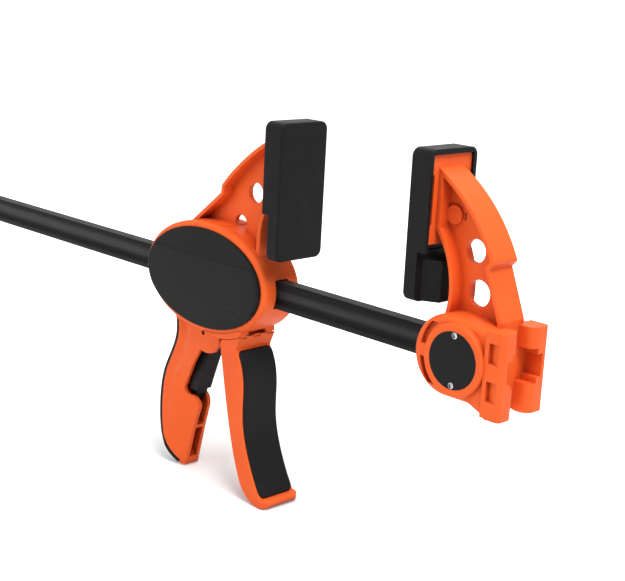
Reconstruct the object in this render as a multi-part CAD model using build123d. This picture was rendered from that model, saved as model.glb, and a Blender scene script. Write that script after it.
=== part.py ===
from build123d import *
import os
from math import cos, radians, sin, sqrt

# Quick release bar clamp. Millimetres.
# The pieces are drawn with the bar's axis as X, towards the fixed jaw, X = 0 at the clamping face
# of the head's pad, +Z up. write() then sets them on the origin, the middle of that face.

# ---- driving dimensions ---------------------------------------------------------------------
BAR_HEIGHT = 14.0
BAR_WIDTH = 8.0
BAR_EDGE_RADIUS = 1.0
BAR_GROOVE_HEIGHT = 8.6
BAR_GROOVE_DEPTH = 1.5

THROAT = 79.4               # top of the bar to the top of the pads
REST_OPENING = 80.3         # between the pads as drawn
MAX_OPENING = 305.0         # between the pads with the bar's stop pin against the head

PAD_HEIGHT = 66.8
PAD_WIDTH = 30.6
PAD_FACE_WALL = 6.0
PAD_SIDE_WALL = 2.0
PAD_DEPTH = 11.2            # upper skirt, front to back
PAD_LOW_DEPTH = 6.8         # solid lower part, front to back
PAD_STEP_HEIGHT = 22.4      # the skirt's step above the pad's bottom
PAD_CORNER = 4.0
PAD_EDGE_ROUND = 1.0
PAD_RIB_DEPTH = 14.5        # rib behind the lower part, from the clamping face
PAD_RIB_FOOT = 22.0         # its width against the pad, and at its back
PAD_RIB_WIDTH = 13.0
PAD_RIB_HEIGHT = 18.5
PLATE_THICKNESS = 3.8       # the jaw's plate that the pad slips over
PLATE_DROP = 2.5            # top of the pad to top of the plate
PLATE_RISE = 3.2            # pad's step to the bottom of the plate
PLATE_WAIST = 2.4           # the plate is narrower by this between its lugs
LUG_HEIGHT = 8.6
LUG_ROUND = 1.0

ARM_WIDTH = 16.0
ARM_WEB = 2.6
ARM_FLANGE = 2.2
ARM_SHORT_EDGE = 3.2        # edges no longer than this stay sharp
ARM_EDGE_ROUND = 0.6
HEAD_HOLE_RADIUS = 5.2
HEAD_HOLE_X = -31.2
HEAD_HOLE_Z = 47.7
HEAD_LOW_HOLE_RADIUS = 4.5
HEAD_LOW_HOLE_X = -41.6
HEAD_LOW_HOLE_Z = 30.6
JAW_HOLE_RADIUS = 5.2
JAW_HOLE_X = 27.6           # from the jaw pad's face, as are the next two
JAW_HOLE_Z = 44.8
JAW_LOW_HOLE_RADIUS = 5.9
JAW_LOW_HOLE_X = 31.0
JAW_LOW_HOLE_Z = 27.0
JAW_BOSS_RADIUS = 4.2
JAW_BOSS_X = 15.6
JAW_BOSS_Z = 58.6
JAW_BOSS_RISE = 1.6
BOSS_SLIT_WIDTH = 0.9       # small slit beside that boss
BOSS_SLIT_HEIGHT = 3.4

HOUSING_X = -57.0           # middle of the oval housing
HOUSING_Z = 0.6
HOUSING_A = 46.8            # half length
HOUSING_B = 28.8            # half height
HOUSING_WIDTH = 24.0
HOUSING_WALL = 3.0          # side walls
HOUSING_RIM = 4.0           # oval wall
HOUSING_ROUND = 2.4
COVER_RIM = 3.0             # housing rim left outside the cover
COVER_SEAT = 1.3            # depth of the cover's recess
COVER_BAND_TOP = 11.6       # the raised band's edges, from the bar's axis
COVER_BAND_LOW = -10.6
COVER_EDGE_RISE = 0.5       # cover's edge above the housing's side
COVER_BAND_RISE = 2.2       # raised band above the housing's side
COVER_STEP = 0.55           # the band's step above the slopes beside it
COVER_ROUND = 1.2
FLOOR_BACK_X = -77.0        # opening in the housing's floor, for the lever, trigger and brake plate
FLOOR_FRONT_X = -30.0
FLOOR_TOP = -18.0
PEG_RADIUS = 1.2
PEG_LENGTH = 1.2
WINDOW_TOP = 15.5           # service windows behind the covers
WINDOW_LOW = -15.0
WINDOW_REAR_X = -88.0
WINDOW_FRONT_X = -22.0
WINDOW_BRIDGE = 12.0        # wall left round the pivot between the windows

PIVOT_X = -46.0             # lever pivot, above the bar
PIVOT_Z = 13.0
PIVOT_PIN_RADIUS = 2.0
LEVER_WIDTH = 24.0
LEVER_SIDE = 2.2
LEVER_FRONT_WALL = 1.8
LEVER_EDGE_ROUND = 1.2
LEVER_TOP_RADIUS = 41.8     # the lever's shoulder, about the pivot
SHOULDER_WALL = 1.6         # and its thickness
LEVER_FOOT_X = -3.2
FOOT_CORNER = 4.0
GRIP_THICKNESS = 2.2
GRIP_PROUD = 1.3
GRIP_WIDTH = 22.4
GRIP_TOP = -32.2
GRIP_LOW = -105.2
GRIP_CORNER = 2.8
GRIP_ROUND = 1.1
LEVER_ARMS_WIDTH = 13.2     # over the lever's two inner arms
LEVER_ARMS_GAP = 9.2        # slot between them
NOSE_DEPTH = 22.0           # nose below the pivot
APRON_BACK_X = -60.0        # skirt below the housing, over the lever's shoulder
APRON_FRONT_X = -27.6
APRON_SLOT_WIDTH = 11.4     # window in the skirt's front
SKIRT_RIDGE = 0.8           # ridge under the skirt, in a groove of the lever's shoulder
SKIRT_RIDGE_HALF = 2.0
SKIRT_RIDGE_X = -34.0
SIDE_RIDGE_NEAR = 7.5       # a ridge on each side too, between these distances from the middle
SIDE_RIDGE_FAR = 10.7
APRON_SLOT_HEIGHT = 1.8

HANDLE_WIDTH = 18.6
HANDLE_WALL = 1.9
HANDLE_BACK = 2.8
HANDLE_ROUND = 1.0          # palm side corners
HANDLE_GROOVE = 0.8         # depth of the hollow beside the palm edge
HANDLE_GROOVE_RADIUS = 8.0
HANDLE_GROOVE_BACK = 8.0    # middle of that hollow, from the palm side
HANDLE_RIB_Z = -86.1        # rib across the lower hollow
HANDLE_RIB = 1.8
STRIP_THICKNESS = 2.6
STRIP_TOP = -27.0
NECK_FRONT_X = -45.8        # the lever's wall comes up to this when squeezed
NECK_SLOT_LOW = -44.0       # where the lever's arms swing inside the neck
NECK_SLOT_BACK = -62.0

RELEASE_X = -58.7           # release trigger's pin
RELEASE_Z = -29.5
RELEASE_PIN_RADIUS = 1.2
RELEASE_PIN_SINK = 1.3      # pin's end below the neck's side
TRIGGER_WIDTH = 9.6
TRIGGER_TIP_WIDTH = 5.2

DRIVE_PLATE_THICKNESS = 2.9
DRIVE_PLATE_TOP = 12.5
DRIVE_PLATE_LOW = -12.0
JAM_PLATE_WIDTH = 14.0
BRAKE_PLATE_THICKNESS = 3.5
BRAKE_TOP_X = -77.2         # the brake plate's round head, about which it tilts
BRAKE_TOP_Z = 20.0
BRAKE_TILT = 6.0
BRAKE_LOW_Z = -40.5
BRAKE_TAIL_WIDTH = 8.0
BRAKE_SHOULDER = 9.0        # broad part below the bar
SPRING_WALL = 2.0
SPRING_WALL_LOW = -12.5
BRAKE_TO_DRIVE = 7.5        # brake's axis to the drive spring's seat
BRAKE_TO_REAR = 12.0        # brake's axis to the brake spring's seat

SPRING_WIRE = 0.9
DRIVE_SPRING_TURNS = 4
BRAKE_SPRING_RADIUS = 3.0
BRAKE_SPRING_TURNS = 6
BRAKE_SPRING_Z = -11.2

HUB_X = 105.8               # middle of the fixed jaw's round boss
HUB_RADIUS = 18.0
HUB_WIDTH = 28.0
HUB_ROUND = 3.0
RING_X = 112.0              # raised ring with the disc in it
RING_RADIUS = 16.0
RING_RISE = 2.8
RING_ROUND = 0.9
DISC_RADIUS = 12.6
DISC_THICKNESS = 2.6
SCREW_HEAD_RADIUS = 1.45
SCREW_SHANK_RADIUS = 0.8
SCREW_LENGTH = 6.0
SCREW_OFFSET = 11.0
JAW_PIN_RADIUS = 3.0
SOCKET_WALL = 1.0           # between the bar's end and the slot of the ears
HEEL_X = 122.5              # where the boss widens into the ears
EAR_START_X = 127.5
EAR_HEEL_X = 130.2          # where the ears reach their full height
EAR_SLOT_X = 129.0
EAR_END_X = 137.3
EAR_TOP = 16.6
EAR_LOW = -21.2
EAR_WIDTH = 30.8
EAR_GAP = 9.2
EAR_OUTER_ROUND = 2.0
EAR_INNER_ROUND = 4.5
EAR_WINDOW_WIDTH = 5.4
EAR_WINDOW_HEIGHT = 8.8
EAR_WINDOW_DEPTH = 2.2      # at its deep end, towards the boss
EAR_WINDOW_X = 129.6        # its deep end
EAR_WINDOW_TOP = 11.8       # top of the upper window
EAR_WINDOW_PITCH = 16.4
KEYWAY_WIDTH = 24.0         # deep groove across both ears
KEYWAY_TOP = 4.6
KEYWAY_LOW = -5.6
KEYWAY_LEDGE_WIDTH = 18.0   # shallower groove above and below it
KEYWAY_LEDGE = 2.6
SLIT_WIDTH = 2.8            # curved slits beside the ring
SLIT_GAP = 1.4
SLIT_DEPTH = 2.2
STOP_PIN_RADIUS = 2.0
STOP_PIN_LENGTH = 14.0
BAR_TAIL = 5.0              # bar beyond its stop pin

# ---- named clearances -----------------------------------------------------------------------
PIN_FIT = 0.05              # radial, a pin that turns
SLIDE_FIT = 0.3             # each side, the bar in the head
SNUG_FIT = 0.1              # each side, pieces fixed to each other
PART_GAP = 0.3              # between pieces that pass each other
JAM_FIT = 0.2               # each side, the bar in a jam plate

# ---- dependent sizes ------------------------------------------------------------------------
BAR_TOP = BAR_HEIGHT / 2
PAD_TOP = BAR_TOP + THROAT
PAD_LOW = PAD_TOP - PAD_HEIGHT
PAD_MIDDLE = (PAD_TOP + PAD_LOW) / 2
PLATE_FRONT = PAD_FACE_WALL + SNUG_FIT
PLATE_BACK = PLATE_FRONT + PLATE_THICKNESS
PLATE_HALF = PAD_WIDTH / 2 - PAD_SIDE_WALL - SNUG_FIT
PAD_STEP = PAD_LOW + PAD_STEP_HEIGHT
PLATE_TOP = PAD_TOP - PLATE_DROP
PLATE_LOW = PAD_STEP + PLATE_RISE
HEAD_ARM_TOP = PAD_TOP - 6.6
JAW_ARM_TOP = PAD_TOP - 7.8
HALF_HOUSING = HOUSING_WIDTH / 2
CAVITY_HALF = HALF_HOUSING - HOUSING_WALL
COVER_FLOOR = HALF_HOUSING - COVER_SEAT
HANDLE_HALF = HANDLE_WIDTH / 2
HANDLE_INSIDE = HANDLE_HALF - HANDLE_WALL
LEVER_HALF = LEVER_WIDTH / 2
LEVER_INSIDE = LEVER_HALF - LEVER_SIDE
APRON_RADIUS = LEVER_TOP_RADIUS - PART_GAP
NECK_SLOT_HALF = LEVER_ARMS_WIDTH / 2 + PART_GAP + SNUG_FIT
NOSE_X = PIVOT_X - 2 * PIVOT_PIN_RADIUS
DRIVE_PLATE_FRONT = NOSE_X - PART_GAP
DRIVE_PLATE_BACK = DRIVE_PLATE_FRONT - 2 * DRIVE_PLATE_THICKNESS
SPRING_SEAT_X = BRAKE_TOP_X + BRAKE_TO_DRIVE
BRAKE_SPRING_X = BRAKE_TOP_X - BRAKE_TO_REAR
HOUSING_TOP = HOUSING_Z + HOUSING_B
HOUSING_LOW = HOUSING_Z - HOUSING_B
DRIVE_SPRING_RADIUS = sqrt(BAR_HEIGHT ** 2 + BAR_WIDTH ** 2) / 2 + PART_GAP + SPRING_WIRE / 2
TRAVEL_OUT = MAX_OPENING - REST_OPENING
HOUSING_BACK = HOUSING_X - HOUSING_A
BRAKE_NIB = BRAKE_PLATE_THICKNESS / 2 + 2 * PART_GAP
STOP_PIN_X = HOUSING_BACK - TRAVEL_OUT - STOP_PIN_RADIUS - PART_GAP
BAR_START = STOP_PIN_X - BAR_TAIL
SOCKET_DEPTH = EAR_SLOT_X - SOCKET_WALL - SNUG_FIT
RING_FACE = HUB_WIDTH / 2 + RING_RISE
EAR_FOOT = -HUB_RADIUS - (EAR_SLOT_X - HEEL_X) / (EAR_HEEL_X - HEEL_X) * (-HUB_RADIUS - EAR_LOW)
DISC_FLOOR = RING_FACE - DISC_THICKNESS


# ---- helpers --------------------------------------------------------------------------------
def slab(profile, low, high):
    """The X-Z profile made solid between two Y planes."""
    return Pos(0, high, 0) * extrude(Plane.XZ * profile, high - low)


def across(profile, half):
    """The X-Z profile made solid to the same half width on both sides."""
    return slab(profile, -half, half)


def face(*edges):
    """A closed X-Z profile from its edges; a straight edge closes it."""
    chain = Curve() + list(edges)
    start = edges[0] @ 0
    end = edges[-1] @ 1
    if (start - end).length > 0.001:
        chain += Line(end, start)
    return make_face(chain.edges())


def block(x0, x1, half_width, z0, z1):
    """A box between two X and two Z planes, symmetric about the bar's side plane."""
    return Pos((x0 + x1) / 2, 0, (z0 + z1) / 2) * Box(abs(x1 - x0), 2 * half_width, abs(z1 - z0))


def rod_across(x, z, radius, half):
    """A round rod along Y."""
    return Pos(x, 0, z) * Rot(90, 0, 0) * Cylinder(radius, 2 * half)


def both_sides(solid):
    """The solid with its mirror image on the other side of the bar."""
    return solid + mirror(solid, Plane.XZ)


def coil_along_x(x0, x1, radius, turns, z=0.0):
    """A coil spring whose axis is along X."""
    length = x1 - x0 - SPRING_WIRE
    path = Helix(length / turns, length, radius)
    wire = Plane(origin=path @ 0, z_dir=path % 0) * Circle(SPRING_WIRE / 2)
    coil = sweep(wire, path=path)
    return Pos(x0 + SPRING_WIRE / 2, 0, z) * Rot(0, 90, 0) * coil


def write(name, shape):
    """Set the piece on the clamp's origin and write it."""
    export_step(Pos(0, 0, -PAD_MIDDLE) * shape, os.path.join("parts", name + ".step"))


# ---- the two jaws ---------------------------------------------------------------------------
def pad():
    """Soft tray that slips over a jaw plate; its front face is at X = 0 and it faces +X."""
    rim = RectangleRounded(PAD_WIDTH, PAD_HEIGHT, PAD_CORNER)
    body = Pos(0, 0, PAD_MIDDLE) * extrude(Plane.YZ * rim, -PAD_DEPTH)
    body = fillet(body.faces().sort_by(Axis.X)[-1].edges(), PAD_EDGE_ROUND)
    behind = -PAD_DEPTH - 1
    body -= block(behind, -PAD_LOW_DEPTH, PAD_WIDTH, PAD_LOW - 1, PAD_STEP)
    inner_half = PAD_WIDTH / 2 - PAD_SIDE_WALL
    body -= block(behind, -PAD_FACE_WALL, inner_half, PAD_STEP, PLATE_TOP + SNUG_FIT)
    plan = make_face(Polyline(
        (-PAD_FACE_WALL, PAD_RIB_FOOT / 2), (-PAD_RIB_DEPTH, PAD_RIB_WIDTH / 2),
        (-PAD_RIB_DEPTH, -PAD_RIB_WIDTH / 2), (-PAD_FACE_WALL, -PAD_RIB_FOOT / 2),
        (-PAD_FACE_WALL, PAD_RIB_FOOT / 2),
    ))
    rib = Pos(0, 0, PAD_LOW) * extrude(plan, PAD_RIB_HEIGHT)
    rib = fillet(rib.edges().filter_by(Axis.Z).group_by(Axis.X)[0], PAD_EDGE_ROUND)
    rib = chamfer(rib.faces().sort_by(Axis.X)[0].edges().sort_by(Axis.Z)[0], PAD_EDGE_ROUND)
    return body + rib


def jaw_plate():
    """The head's plate that fills the pad's tray, narrower between its upper and lower lugs."""
    height = PLATE_TOP - PLATE_LOW
    rim = Rectangle(2 * PLATE_HALF, height)
    for side in (-1, 1):
        rim -= Pos(side * PLATE_HALF, 0) * Rectangle(2 * PLATE_WAIST, height - 2 * LUG_HEIGHT)
    rim = fillet(rim.vertices().group_by(Axis.Y)[-1] + rim.vertices().group_by(Axis.Y)[0], LUG_ROUND)
    return Pos(-PLATE_BACK, 0, PLATE_LOW + height / 2) * extrude(Plane.YZ * rim, PLATE_THICKNESS)


def head_arm_outline():
    """Side view of the head's jaw arm."""
    root = HOUSING_TOP - 3
    return face(
        Line((-PLATE_BACK, 52.0), (-PLATE_BACK, HEAD_ARM_TOP)),
        ThreePointArc((-PLATE_BACK, HEAD_ARM_TOP), (-30.2, 67.7), (-49.8, 49.8)),
        Line((-49.8, 49.8), (-50.4, 45.6)),
        Line((-50.4, 45.6), (-74.0, root)),
        Line((-74.0, root), (-74.0, 8.0)),
        Line((-74.0, 8.0), (-20.4, 8.0)),
        Line((-20.4, 8.0), (-20.0, 24.0)),
        ThreePointArc((-20.0, 24.0), (-17.3, 40.0), (-PLATE_BACK, 52.0)),
    )


def fixed_arm_outline():
    """Side view of the fixed jaw's arm, X from the pad's clamping face."""
    return face(
        Line((PLATE_BACK, 52.0), (PLATE_BACK, JAW_ARM_TOP)),
        ThreePointArc((PLATE_BACK, JAW_ARM_TOP), (30.0, 62.6), (42.6, 43.6)),
        Line((42.6, 43.6), (42.4, 42.2)),
        Line((42.4, 42.2), (40.5, 40.0)),
        Line((40.5, 40.0), (49.0, 18.8)),
        Line((49.0, 18.8), (48.4, 2.0)),
        Line((48.4, 2.0), (17.0, 2.0)),
        Line((17.0, 2.0), (18.4, 16.0)),
        ThreePointArc((18.4, 16.0), (18.4, 36.0), (PLATE_BACK, 52.0)),
    )


def arm(outline, keep_out):
    """I-section arm: the outline at full width, its sides hollowed to the web."""
    solid = across(outline, ARM_WIDTH / 2)
    long_edges = solid.faces().filter_by(Axis.Y).edges().filter_by(lambda edge: edge.length > ARM_SHORT_EDGE)
    solid = fillet(long_edges, ARM_EDGE_ROUND)
    pocket = offset(outline, -ARM_FLANGE, kind=Kind.INTERSECTION) - keep_out
    recess = slab(pocket, ARM_WEB / 2, ARM_WIDTH)
    return solid - both_sides(recess)


# ---- the head -------------------------------------------------------------------------------
def oval(inset):
    """The housing's oval, made smaller by the inset."""
    return Pos(HOUSING_X, HOUSING_Z) * Ellipse(HOUSING_A - inset, HOUSING_B - inset)


def oval_low(x):
    """Height of the oval's lower edge at this X."""
    return HOUSING_Z - HOUSING_B * sqrt(1 - ((x - HOUSING_X) / HOUSING_A) ** 2)


def handle_rear(shift=0.0):
    """The palm side of the handle as one curve, from the housing down."""
    return Spline(
        (-86.0 + shift, -18.0), (-81.8 + shift, -37.0), (-90.2 + shift, -56.0), (-93.6 + shift, -78.0),
        (-88.6 + shift, -101.0), (-80.4 + shift * 0.6, -108.7 + shift * 0.6),
    )


def handle_outline():
    """Side view of the fixed handle with its trigger window."""
    rear = handle_rear()
    low = rear @ 1
    return face(
        rear,
        Line(low, (-76.0, -109.4)),
        Line((-76.0, -109.4), (-70.2, -86.5)),
        Line((-70.2, -86.5), (-66.2, -73.5)),
        ThreePointArc((-66.2, -73.5), (-66.9, -70.6), (-71.0, -67.8)),
        ThreePointArc((-71.0, -67.8), (-74.6, -66.2), (-74.6, -62.6)),
        Line((-74.6, -62.6), (-60.6, -38.9)),
        ThreePointArc((-60.6, -38.9), (-54.5, -39.6), (-49.4, -38.0)),
        Line((-49.4, -38.0), (NECK_FRONT_X, -33.0)),
        Line((NECK_FRONT_X, -33.0), (NECK_FRONT_X, -22.0)),
        Line((NECK_FRONT_X, -22.0), rear @ 0),
    )


def outside(corner, along, third, inset):
    """The half space outside the leaning plane through three points, set in by the inset."""
    start = Vector(*corner)
    run = Vector(*along) - start
    normal = run.cross(Vector(*third) - start).normalized()
    if normal.Y < 0:
        normal = normal * -1
    plane = Plane(origin=start - normal * inset, x_dir=run, z_dir=normal)
    reach = 3 * HOUSING_A
    return plane * Pos(0, 0, reach / 2) * Box(2 * reach, 2 * reach, reach)


def side_taper(inset=0.0):
    """What falls outside the handle's sides, which lean in below a slanting line."""
    neck_line = ((-46.0, HANDLE_HALF, -40.0), (-88.0, HANDLE_HALF, -58.0))
    below_neck = outside(*neck_line, (-66.0, 4.1, -71.0), inset)
    front_edge = outside((-66.0, 3.95, -71.0), (-74.0, 4.2, -106.0), (-74.6, 7.1, -62.6), inset)
    return both_sides(below_neck & front_edge)


def handle_shape():
    """The fixed handle's outer shape, rounded at the palm side, with its leaning sides."""
    solid = across(handle_outline(), HANDLE_HALF)
    palm = solid.edges().filter_by(GeomType.BSPLINE)
    return fillet(palm, HANDLE_ROUND) - side_taper() - both_sides(palm_groove())


def palm_groove():
    """A round-bottomed hollow down the far side of the handle, beside the palm edge."""
    line = handle_rear(HANDLE_GROOVE_BACK)
    lift = HANDLE_HALF - HANDLE_GROOVE + HANDLE_GROOVE_RADIUS
    path = Pos(0, lift, 0) * (Plane.XZ * line)
    tool = Plane(origin=path @ 0, z_dir=path % 0) * Circle(HANDLE_GROOVE_RADIUS)
    return sweep(tool, path=path)


def handle_hollow():
    """The space inside the handle, open towards the lever."""
    rear = handle_rear(HANDLE_BACK + STRIP_THICKNESS)
    low = rear @ 1
    hollow = face(
        rear,
        Line(low, (-77.0, -105.0)),
        Line((-77.0, -105.0), (-50.0, -105.0)),
        Line((-50.0, -105.0), (-42.0, -30.0)),
        Line((-42.0, -30.0), (-42.0, -14.0)),
        Line((-42.0, -14.0), (rear @ 0)),
    )
    space = across(hollow, HANDLE_INSIDE) - side_taper(HANDLE_WALL)
    rib_low = HANDLE_RIB_Z - HANDLE_RIB / 2
    return space - block(-120.0, -60.0, HANDLE_HALF, rib_low, rib_low + HANDLE_RIB)


def strip_zone():
    """The layer at the palm side that the soft strip fills."""
    outer = handle_rear(-1.0)
    inner = handle_rear(STRIP_THICKNESS)
    layer = face(outer, Line(outer @ 1, inner @ 1), inner, Line(inner @ 0, outer @ 0))
    return across(layer, HANDLE_HALF + 1) & block(-120, -60, HANDLE_HALF + 1, -130, STRIP_TOP)


def handle_strip():
    """Soft strip down the palm side of the handle."""
    return handle_shape() & strip_zone()


def spring_wall():
    """Wall across the cavity that the drive spring pushes on; its nib is in front of the brake's head."""
    seat = block(SPRING_SEAT_X - SPRING_WALL, SPRING_SEAT_X, CAVITY_HALF, SPRING_WALL_LOW, HOUSING_TOP)
    nib = block(BRAKE_TOP_X + BRAKE_NIB, SPRING_SEAT_X, CAVITY_HALF, BRAKE_TOP_Z - 2.5, HOUSING_TOP)
    nib_x = BRAKE_TOP_X - BRAKE_NIB
    rear_nib = block(nib_x - 3.2, nib_x, CAVITY_HALF, BRAKE_TOP_Z - 1.5, HOUSING_TOP)
    return seat + nib + rear_nib


def rear_wall():
    """Wall behind the brake plate that its spring pushes on."""
    return block(HOUSING_BACK + 4, BRAKE_SPRING_X, CAVITY_HALF, -HOUSING_B, HOUSING_B)


def cover_pegs():
    """Where the four snap pegs of a cover stand."""
    reach = HOUSING_A - COVER_RIM - 3.2
    rise = HOUSING_B - COVER_RIM - 2.8
    return [
        (HOUSING_X - reach, HOUSING_Z), (HOUSING_X + reach, HOUSING_Z),
        (PIVOT_X, HOUSING_Z + rise), (PIVOT_X - 22.0, HOUSING_Z + rise),
    ]


def housing():
    """The oval housing with its cavity, ribs, cover seats and service windows."""
    body = across(oval(0), HALF_HOUSING)
    body = fillet(body.edges().filter_by(GeomType.ELLIPSE), HOUSING_ROUND)
    body -= across(oval(HOUSING_RIM), CAVITY_HALF)
    inside = across(oval(HOUSING_RIM - 0.5), CAVITY_HALF)
    body += (spring_wall() + rear_wall()) & inside
    seat = slab(oval(COVER_RIM), COVER_FLOOR, HOUSING_WIDTH)
    windows = block(WINDOW_REAR_X, WINDOW_FRONT_X, HOUSING_WIDTH, WINDOW_LOW, WINDOW_TOP)
    bridge_rear = PIVOT_X - WINDOW_BRIDGE / 2
    windows -= block(bridge_rear, bridge_rear + WINDOW_BRIDGE, HOUSING_WIDTH + 1, -HOUSING_B, HOUSING_B)
    windows -= block(-110, 0, CAVITY_HALF, -HOUSING_B, HOUSING_B)
    return body - both_sides(seat) - windows


def apron():
    """Skirt below the housing, round about the lever's pivot, that the lever's shoulder passes under."""
    disc = Pos(PIVOT_X, PIVOT_Z) * Circle(APRON_RADIUS)
    span = Rectangle(APRON_FRONT_X - APRON_BACK_X, 36.0)
    reach = disc & Pos((APRON_BACK_X + APRON_FRONT_X) / 2, HOUSING_LOW) * span
    ridge_span = Rectangle(APRON_FRONT_X - SKIRT_RIDGE_X, 36.0)
    tongue = Pos(PIVOT_X, PIVOT_Z) * Circle(APRON_RADIUS + SKIRT_RIDGE)
    tongue &= Pos((SKIRT_RIDGE_X + APRON_FRONT_X) / 2, HOUSING_LOW) * ridge_span
    skirt = across(reach, HALF_HOUSING) + across(tongue, SKIRT_RIDGE_HALF)
    skirt += both_sides(slab(tongue, SIDE_RIDGE_NEAR, SIDE_RIDGE_FAR))
    return skirt - across(oval(1.0), HOUSING_WIDTH)


def apron_slot():
    """Window through the skirt's front into the housing's floor opening."""
    top = oval_low(APRON_FRONT_X) - 0.4
    return block(FLOOR_FRONT_X - 4, APRON_FRONT_X + 1, APRON_SLOT_WIDTH / 2, top - APRON_SLOT_HEIGHT, top)


def head_arm():
    """The head's jaw arm with its holes and the pad's plate, kept clear of the housing."""
    jaw = arm(head_arm_outline(), oval(-0.6)) + jaw_plate()
    jaw -= rod_across(HEAD_HOLE_X, HEAD_HOLE_Z, HEAD_HOLE_RADIUS, ARM_WIDTH)
    jaw -= rod_across(HEAD_LOW_HOLE_X, HEAD_LOW_HOLE_Z, HEAD_LOW_HOLE_RADIUS, ARM_WIDTH)
    return jaw - across(oval(1.0), ARM_WIDTH)


def handle():
    """The fixed handle without its strip, hollow, kept clear of the housing."""
    return handle_shape() - strip_zone() - handle_hollow() - across(oval(1.0), HANDLE_WIDTH)


def head_body():
    """The head in one moulding: jaw arm, housing and fixed handle."""
    body = housing() + head_arm() + handle() + apron()
    bar_slot_height = BAR_TOP + SLIDE_FIT
    body -= block(-130, 0, BAR_WIDTH / 2 + SLIDE_FIT, -bar_slot_height, bar_slot_height)
    body -= block(FLOOR_BACK_X, FLOOR_FRONT_X, HANDLE_INSIDE, HOUSING_LOW - 6, FLOOR_TOP)
    body -= apron_slot()
    body -= block(NECK_SLOT_BACK, PIVOT_X + 2, NECK_SLOT_HALF, NECK_SLOT_LOW, FLOOR_TOP)
    body -= rod_across(PIVOT_X, PIVOT_Z, PIVOT_PIN_RADIUS + PIN_FIT, HOUSING_WIDTH)
    body -= rod_across(RELEASE_X, RELEASE_Z, RELEASE_PIN_RADIUS + PIN_FIT, HOUSING_WIDTH)
    for x, z in cover_pegs():
        hole = Pos(x, COVER_FLOOR - PEG_LENGTH / 2, z) * Rot(90, 0, 0)
        body -= both_sides(hole * Cylinder(PEG_RADIUS + SNUG_FIT, PEG_LENGTH + 2 * PART_GAP))
    return body


def cover():
    """Oval cover of the far side: flat raised band, a slope above and below it, four pegs."""
    edge = HALF_HOUSING + COVER_EDGE_RISE
    crest = HALF_HOUSING + COVER_BAND_RISE
    blank = slab(oval(COVER_RIM + SNUG_FIT), COVER_FLOOR, crest)
    blank = fillet(blank.faces().sort_by(Axis.Y)[-1].edges(), COVER_ROUND)
    slope = crest - COVER_STEP
    section = Polyline(
        (edge, HOUSING_TOP), (slope, COVER_BAND_TOP + COVER_STEP), (crest, COVER_BAND_TOP),
        (crest, COVER_BAND_LOW), (slope, COVER_BAND_LOW - COVER_STEP), (edge, HOUSING_LOW),
        (0, HOUSING_LOW), (0, HOUSING_TOP), (edge, HOUSING_TOP),
    )
    envelope = Pos(-120, 0, 0) * extrude(Plane.YZ * make_face(section), 120)
    shape = blank & envelope
    for x, z in cover_pegs():
        peg = Pos(x, COVER_FLOOR - PEG_LENGTH / 2, z) * Rot(90, 0, 0)
        shape += peg * Cylinder(PEG_RADIUS, PEG_LENGTH)
    return shape


# ---- the squeeze lever ----------------------------------------------------------------------
def lever_front(shift=0.0):
    """Front of the grip from the lever's neck to its foot, moved back by the shift."""
    return Spline(
        (-28.7 - shift, -31.5), (-22.3 - shift, -52.0), (-22.1 - shift, -66.0),
        (-17.2 - shift, -85.0), (-6.4 - shift, -105.2),
    )


def lever_outline():
    """Side view of the lever: its shoulder is an arc about the pivot."""
    front = lever_front(GRIP_PROUD)
    shoulder_back = round_pivot(-40.6)
    shoulder_front = round_pivot(-27.0)
    return face(
        ThreePointArc(shoulder_back, round_pivot(-34.5), shoulder_front),
        Line(shoulder_front, front @ 0),
        front,
        Line(front @ 1, (LEVER_FOOT_X - 1.2, -105.7)),
        ThreePointArc((LEVER_FOOT_X - 1.2, -105.7), (LEVER_FOOT_X, -107.2), (LEVER_FOOT_X - 1.2, -108.8)),
        Line((LEVER_FOOT_X - 1.2, -108.8), (-8.0, -110.0)),
        ThreePointArc((-8.0, -110.0), (-17.5, -106.6), (-24.0, -98.6)),
        Spline((-24.0, -98.6), (-28.2, -88.0), (-33.4, -70.0), (-38.0, -50.0), (-42.0, -30.6)),
    )


def round_pivot(x):
    """The point of the lever's shoulder at this X."""
    return x, PIVOT_Z - sqrt(LEVER_TOP_RADIUS ** 2 - (x - PIVOT_X) ** 2)


def grip_blank():
    """The layer in front of the lever that the soft grip fills, round-cornered from the front."""
    outer = lever_front()
    inner = lever_front(GRIP_THICKNESS)
    layer = face(outer, Line(outer @ 1, inner @ 1), inner, Line(inner @ 0, outer @ 0))
    rim = RectangleRounded(GRIP_WIDTH, GRIP_TOP - GRIP_LOW, GRIP_CORNER)
    window = Pos(-60.0, 0, (GRIP_TOP + GRIP_LOW) / 2) * extrude(Plane.YZ * rim, 60.0)
    return across(layer, LEVER_HALF) & window


def lever_shape():
    """The lever's outer shape, its foot's corners rounded in plan."""
    solid = across(lever_outline(), LEVER_HALF)
    rear = -70.0
    plan = Pos((rear + LEVER_FOOT_X) / 2, 0, -60.0) * Box(LEVER_FOOT_X - rear, LEVER_WIDTH, 120.0)
    plan = fillet(plan.edges().filter_by(Axis.Z).group_by(Axis.X)[-1], FOOT_CORNER)
    front_edges = solid.edges().filter_by(GeomType.BSPLINE).group_by(Axis.X)[-1]
    return fillet(front_edges, LEVER_EDGE_ROUND) & plan


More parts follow.
